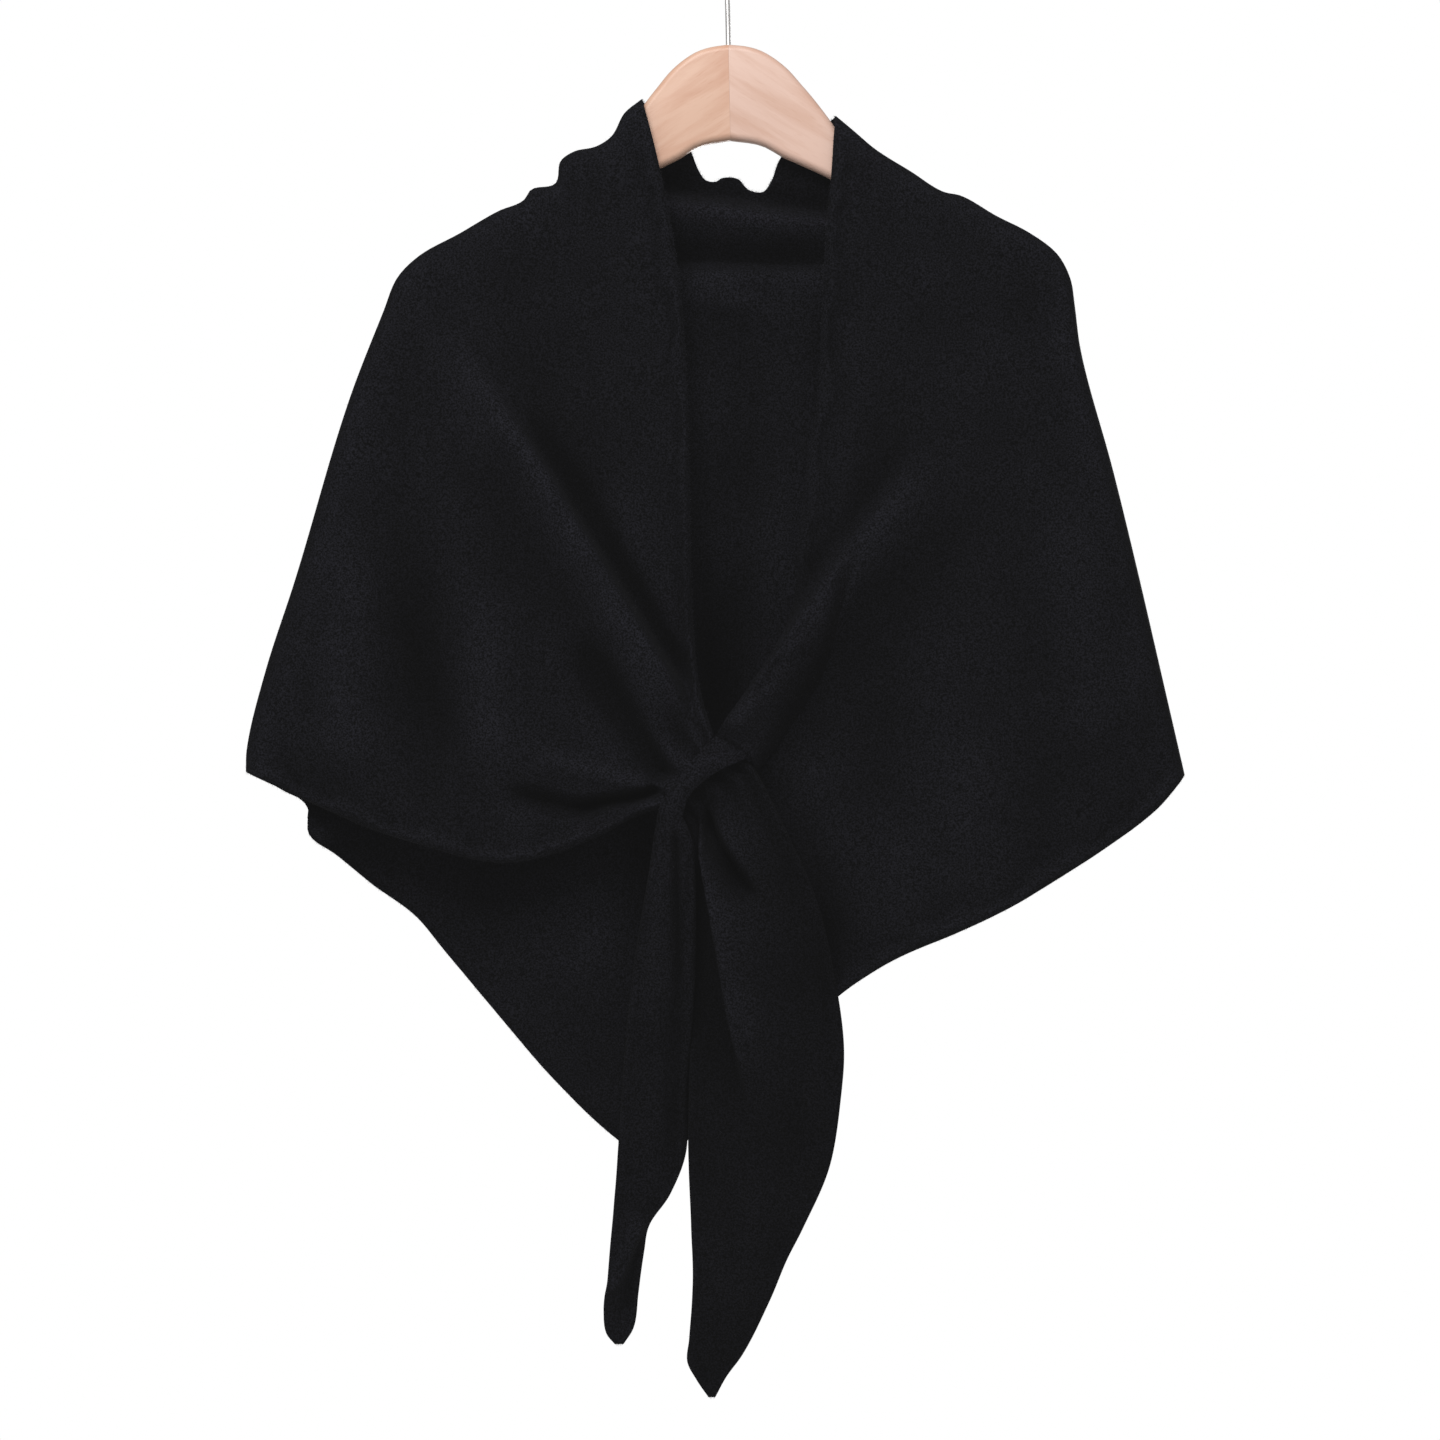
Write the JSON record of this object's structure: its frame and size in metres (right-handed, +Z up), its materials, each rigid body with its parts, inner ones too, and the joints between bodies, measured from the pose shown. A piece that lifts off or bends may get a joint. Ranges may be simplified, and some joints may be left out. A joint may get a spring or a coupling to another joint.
{
  "type": "triangle scarf on wooden hanger",
  "caption": "Triangle scarf drawn through its own slit into a knot with long pointed tails, hanging on a wooden hanger with a wire hook.",
  "frame": {"origin": "inside top of the hook's crown, where a rail carries the hanger", "axes": "+Z up, front of the scarf towards -Y, +X to the right seen from the front"},
  "size_m": [0.6319, 0.0904, 0.9795],
  "materials": {
    "wool": "black fine wool knit, matt with a short nap",
    "beech": "pale beech under satin varnish",
    "wire": "bright plated steel wire"
  },
  "bodies": {
    "root": {"back_panel": "wool", "front_left": "wool", "front_right": "wool", "band": "wool", "tail_right": "wool", "tail_left": "wool", "hanger_left_arm": "beech", "hanger_right_arm": "beech", "hanger_hook": "wire"}
  },
  "joints": []
}
